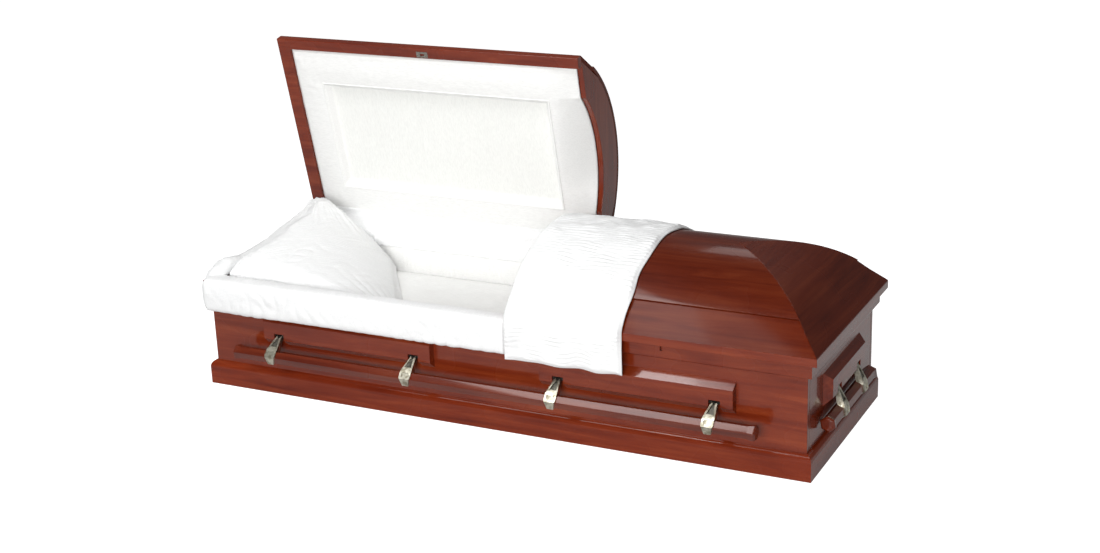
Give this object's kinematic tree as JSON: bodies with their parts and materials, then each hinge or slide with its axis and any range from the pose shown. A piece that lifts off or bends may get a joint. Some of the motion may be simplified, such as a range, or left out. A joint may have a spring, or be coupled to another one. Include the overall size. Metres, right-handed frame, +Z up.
{
  "type": "funeral casket",
  "caption": "Half-couch wooden funeral casket with a domed, hinged two-part lid, swing-bar handles and a white crepe interior.",
  "frame": {"origin": "middle of the underside", "axes": "+X toward the foot along the length, -Y to the front, +Z up"},
  "size_m": [2.1646, 0.9387, 1.0673],
  "materials": {
    "cherry_wood": "gloss",
    "dark_wood": "gloss",
    "silver_metal": "antique",
    "hinge_steel": "satin",
    "crepe_lining": "crepe",
    "white_crepe": "crepe"
  },
  "bodies": {
    "casket": {"floor_board": "cherry_wood", "front_side_board": "cherry_wood", "back_side_board": "cherry_wood", "head_end_board": "cherry_wood", "foot_end_board": "cherry_wood", "front_base_moulding": "cherry_wood", "back_base_moulding": "cherry_wood", "head_base_moulding": "cherry_wood", "foot_base_moulding": "cherry_wood", "front_rim_moulding": "cherry_wood", "back_rim_moulding": "cherry_wood", "head_rim_moulding": "cherry_wood", "foot_rim_moulding": "cherry_wood", "front_head_panel": "cherry_wood", "front_foot_panel": "cherry_wood", "back_head_panel": "cherry_wood", "back_foot_panel": "cherry_wood", "head_end_panel": "cherry_wood", "foot_end_panel": "cherry_wood", "body_hinge_leaves": "hinge_steel", "mattress": "crepe_lining", "side_lining": "crepe_lining", "front_roll": "white_crepe", "head_roll": "white_crepe", "pillow": "white_crepe"},
    "head_lid": {"head_lid_crown": "cherry_wood", "head_lid_front_band": "cherry_wood", "head_lid_back_band": "cherry_wood", "head_lid_end_cove": "cherry_wood", "head_lid_rails": "cherry_wood", "head_lid_header": "cherry_wood", "head_lid_lining": "crepe_lining", "head_lid_strike": "hinge_steel", "head_lid_hinge_leaf": "hinge_steel"},
    "foot_lid": {"foot_lid_crown": "cherry_wood", "foot_lid_front_band": "cherry_wood", "foot_lid_back_band": "cherry_wood", "foot_lid_end_cove": "cherry_wood", "foot_lid_rails": "cherry_wood", "foot_lid_header": "cherry_wood", "foot_lid_lining": "crepe_lining", "foot_lid_hinge_leaf": "hinge_steel", "overlay": "white_crepe"},
    "front_handle": {"front_arm_1": "silver_metal", "front_arm_2": "silver_metal", "front_arm_3": "silver_metal", "front_arm_4": "silver_metal", "front_bar": "dark_wood"},
    "back_handle": {"back_arm_1": "silver_metal", "back_arm_2": "silver_metal", "back_arm_3": "silver_metal", "back_arm_4": "silver_metal", "back_bar": "dark_wood"},
    "head_handle": {"head_arm_1": "silver_metal", "head_arm_2": "silver_metal", "head_bar": "dark_wood"},
    "foot_handle": {"foot_arm_1": "silver_metal", "foot_arm_2": "silver_metal", "foot_bar": "dark_wood"}
  },
  "joints": [
    {"name": "head_lid_hinge", "type": "hinge", "parent": "casket", "child": "head_lid", "pos_m": [0, 0.366, 0.348], "axis": [1, 0, 0], "range_deg": [0, 77], "deforming": ["front_roll", "head_roll", "pillow"]},
    {"name": "foot_lid_hinge", "type": "hinge", "parent": "casket", "child": "foot_lid", "pos_m": [0, 0.366, 0.348], "axis": [-1, 0, 0], "range_deg": [0, 77]},
    {"name": "front_handle_swing", "type": "hinge", "parent": "casket", "child": "front_handle", "pos_m": [0, -0.3395, 0.205], "axis": [-1, 0, 0], "range_deg": [0, 45]},
    {"name": "back_handle_swing", "type": "hinge", "parent": "casket", "child": "back_handle", "pos_m": [0, 0.3395, 0.205], "axis": [1, 0, 0], "range_deg": [0, 45]},
    {"name": "head_handle_swing", "type": "hinge", "parent": "casket", "child": "head_handle", "pos_m": [-1.044, 0, 0.205], "axis": [0, 1, 0], "range_deg": [0, 75]},
    {"name": "foot_handle_swing", "type": "hinge", "parent": "casket", "child": "foot_handle", "pos_m": [1.044, 0, 0.205], "axis": [0, -1, 0], "range_deg": [0, 75]}
  ]
}
